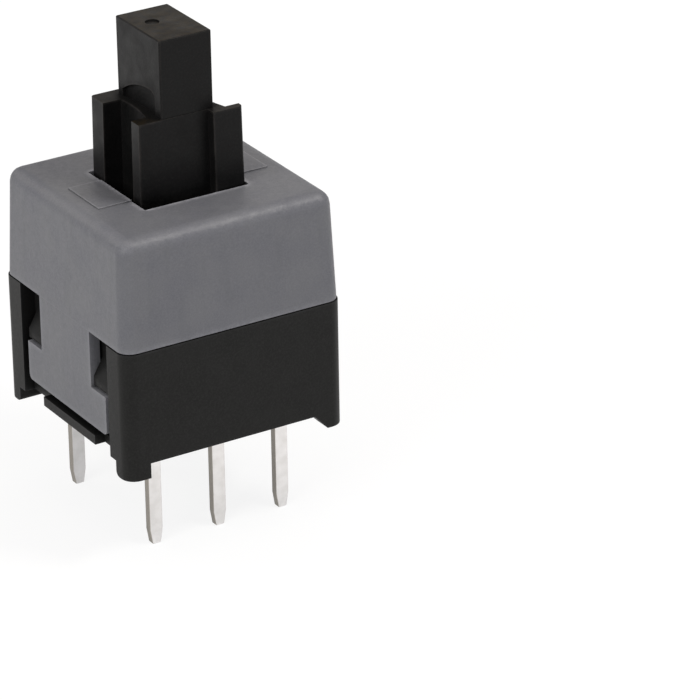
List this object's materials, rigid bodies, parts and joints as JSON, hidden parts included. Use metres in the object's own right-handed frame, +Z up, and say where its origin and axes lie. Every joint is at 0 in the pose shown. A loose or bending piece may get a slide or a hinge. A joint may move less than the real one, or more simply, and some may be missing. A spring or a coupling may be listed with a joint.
{
  "type": "miniature pushbutton switch",
  "caption": "Latching miniature pushbutton switch for a circuit board: a grey cover snapped on a black base, a stepped black plunger and rows of tinned through-hole pins.",
  "frame": {"origin": "midway between the pins, level with their tips", "axes": "+Z up along the plunger, +X along a row of pins, towards one of the two sides with a snap tab"},
  "size_m": [0.0086, 0.0086, 0.0175],
  "materials": {
    "grey_cover": "moulded satin",
    "black_base": "moulded fine satin",
    "black_plunger": "moulded, slightly glossy",
    "tinned_terminals": "bright tin over stamped brass",
    "contact_bronze": "phosphor bronze strip",
    "spring_steel": "drawn wire"
  },
  "bodies": {
    "housing": {"base": "black_base", "cover": "grey_cover", "terminal_front_left": "tinned_terminals", "terminal_front_common": "tinned_terminals", "terminal_front_right": "tinned_terminals", "terminal_rear_left": "tinned_terminals", "terminal_rear_common": "tinned_terminals", "terminal_rear_right": "tinned_terminals", "return_spring": "spring_steel", "latch_spring": "contact_bronze"},
    "button": {"plunger": "black_plunger", "moving_contact_front": "contact_bronze", "moving_contact_rear": "contact_bronze"},
    "latch": {"latch_pin": "spring_steel"}
  },
  "joints": [
    {"name": "plunger_slide", "type": "slide", "parent": "housing", "child": "button", "axis": [0, 0, -1], "range_m": [0, 0.0025], "stiffness_N_per_m": 300, "springref_m": -0.003, "deforming": ["return_spring"]},
    {"name": "latch_swing", "type": "hinge", "parent": "housing", "child": "latch", "pos_m": [0.00195, 0, 0.0048], "axis": [1, 0, 0], "range_deg": [0, 13.4]}
  ],
  "couplings": [
    {"joint": "latch_swing", "follows": "plunger_slide", "rad_per_m": 93.5}
  ]
}
